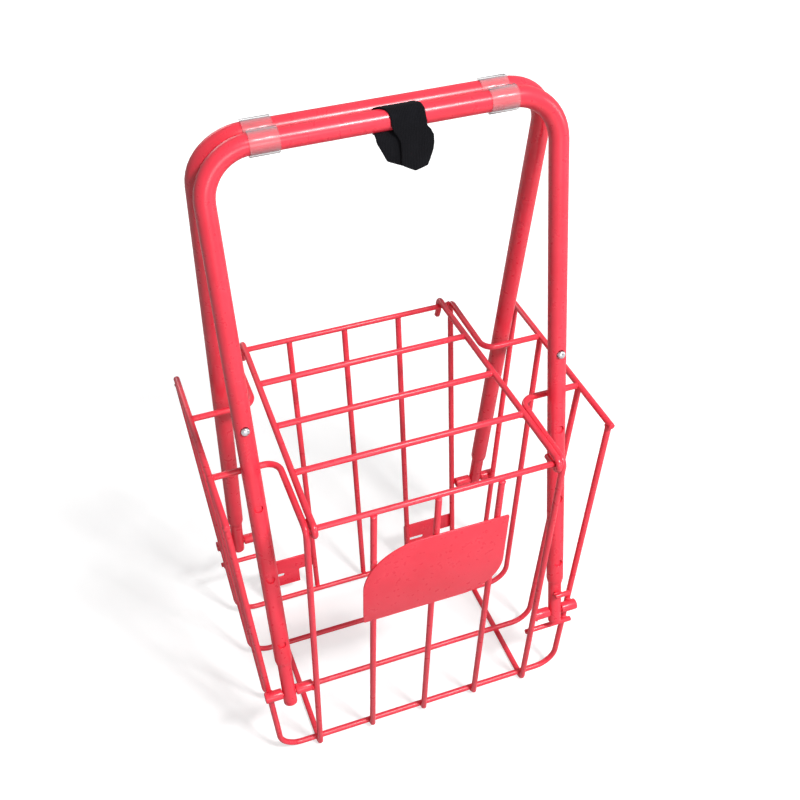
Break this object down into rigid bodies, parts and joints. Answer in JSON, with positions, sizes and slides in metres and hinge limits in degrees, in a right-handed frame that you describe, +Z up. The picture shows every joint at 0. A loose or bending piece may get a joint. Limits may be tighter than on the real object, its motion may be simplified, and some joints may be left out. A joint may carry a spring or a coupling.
{
  "type": "tennis ball hopper",
  "caption": "Wire basket that picks up balls through its floor, with a hinged lid and telescopic carrying handles that swing down to become standing legs.",
  "frame": {"origin": "on the floor under the middle of the basket", "axes": "+Z up, -Y the end wall with the bare plate, +X to the right when that wall is seen from outside"},
  "size_m": [0.345, 0.263, 0.6275],
  "materials": {
    "red_coating": "glossy coral red powder coating",
    "bright_steel": "bright plated steel",
    "clear_plastic": "clear",
    "black_strap": "matt black woven hook-and-loop strap"
  },
  "bodies": {
    "basket": {"basket_u_wire_1": "red_coating", "basket_u_wire_2": "red_coating", "basket_u_wire_3": "red_coating", "basket_u_wire_4": "red_coating", "basket_loop_left": "red_coating", "basket_loop_right": "red_coating", "basket_front_bar": "red_coating", "basket_back_bar": "red_coating", "basket_front_wire_1": "red_coating", "basket_front_wire_2": "red_coating", "basket_front_wire_3": "red_coating", "basket_back_wire_1": "red_coating", "basket_back_wire_2": "red_coating", "basket_back_wire_3": "red_coating", "basket_side_wire_left": "red_coating", "basket_side_wire_right": "red_coating", "pivot_pin_front_right": "red_coating", "pivot_pin_front_left": "red_coating", "pivot_pin_back_left": "red_coating", "pivot_pin_back_right": "red_coating", "inner_sleeve_front_right": "red_coating", "inner_sleeve_front_left": "red_coating", "inner_sleeve_back_left": "red_coating", "inner_sleeve_back_right": "red_coating", "outer_sleeve_front_right": "red_coating", "outer_sleeve_front_left": "red_coating", "outer_sleeve_back_left": "red_coating", "outer_sleeve_back_right": "red_coating", "stop_bar_front_right": "red_coating", "stop_bar_back_left": "red_coating", "front_plate": "red_coating", "rear_bracket_left": "red_coating", "rear_bracket_right": "red_coating"},
    "lid": {"lid_side_wire_left": "red_coating", "lid_side_wire_right": "red_coating", "lid_cross_wire_1": "red_coating", "lid_cross_wire_2": "red_coating", "lid_cross_wire_3": "red_coating"},
    "front_legs": {"inner_leg_front_left": "red_coating", "inner_leg_front_right": "red_coating", "button_leaf_front_left": "bright_steel", "button_leaf_front_right": "bright_steel", "leg_stop_front_right": "red_coating"},
    "front_handle": {"handle_front": "red_coating", "clear_clip_left": "clear_plastic", "clear_clip_right": "clear_plastic", "strap": "black_strap"},
    "back_legs": {"inner_leg_back_left": "red_coating", "inner_leg_back_right": "red_coating", "button_leaf_back_left": "bright_steel", "button_leaf_back_right": "bright_steel", "leg_stop_back_left": "red_coating"},
    "back_handle": {"handle_back": "red_coating"},
    "button_front_left": {"spring_button_front_left": "bright_steel"},
    "button_front_right": {"spring_button_front_right": "bright_steel"},
    "button_back_left": {"spring_button_back_left": "bright_steel"},
    "button_back_right": {"spring_button_back_right": "bright_steel"}
  },
  "joints": [
    {"name": "front_leg_hinge", "type": "hinge", "parent": "basket", "child": "front_legs", "pos_m": [0, -0.10061, 0.11001], "axis": [1, 0, 0], "range_deg": [0, 166]},
    {"name": "back_leg_hinge", "type": "hinge", "parent": "basket", "child": "back_legs", "pos_m": [0, 0.10061, 0.11001], "axis": [-1, 0, 0], "range_deg": [0, 166]},
    {"name": "front_handle_slide", "type": "slide", "parent": "front_legs", "child": "front_handle", "axis": [0, 0.1775, 0.9841], "range_m": [0, 0.2286], "deforming": ["spring_button_front_left", "spring_button_front_right"]},
    {"name": "back_handle_slide", "type": "slide", "parent": "back_legs", "child": "back_handle", "axis": [0, -0.1775, 0.9841], "range_m": [0, 0.2286], "deforming": ["spring_button_back_left", "spring_button_back_right"]},
    {"name": "lid_hinge", "type": "hinge", "parent": "basket", "child": "lid", "pos_m": [0, -0.12195, 0.34295], "axis": [1, 0, 0], "range_deg": [0, 261]},
    {"name": "button_front_left_press", "type": "slide", "parent": "front_legs", "child": "button_front_left", "axis": [0, 0.9841, -0.1775], "range_m": [0, 0.0035], "stiffness_N_per_m": 200, "springref_m": -0.002},
    {"name": "button_front_right_press", "type": "slide", "parent": "front_legs", "child": "button_front_right", "axis": [0, 0.9841, -0.1775], "range_m": [0, 0.0035], "stiffness_N_per_m": 200, "springref_m": -0.002},
    {"name": "button_back_left_press", "type": "slide", "parent": "back_legs", "child": "button_back_left", "axis": [0, -0.9841, -0.1775], "range_m": [0, 0.0035], "stiffness_N_per_m": 200, "springref_m": -0.002},
    {"name": "button_back_right_press", "type": "slide", "parent": "back_legs", "child": "button_back_right", "axis": [0, -0.9841, -0.1775], "range_m": [0, 0.0035], "stiffness_N_per_m": 200, "springref_m": -0.002}
  ]
}
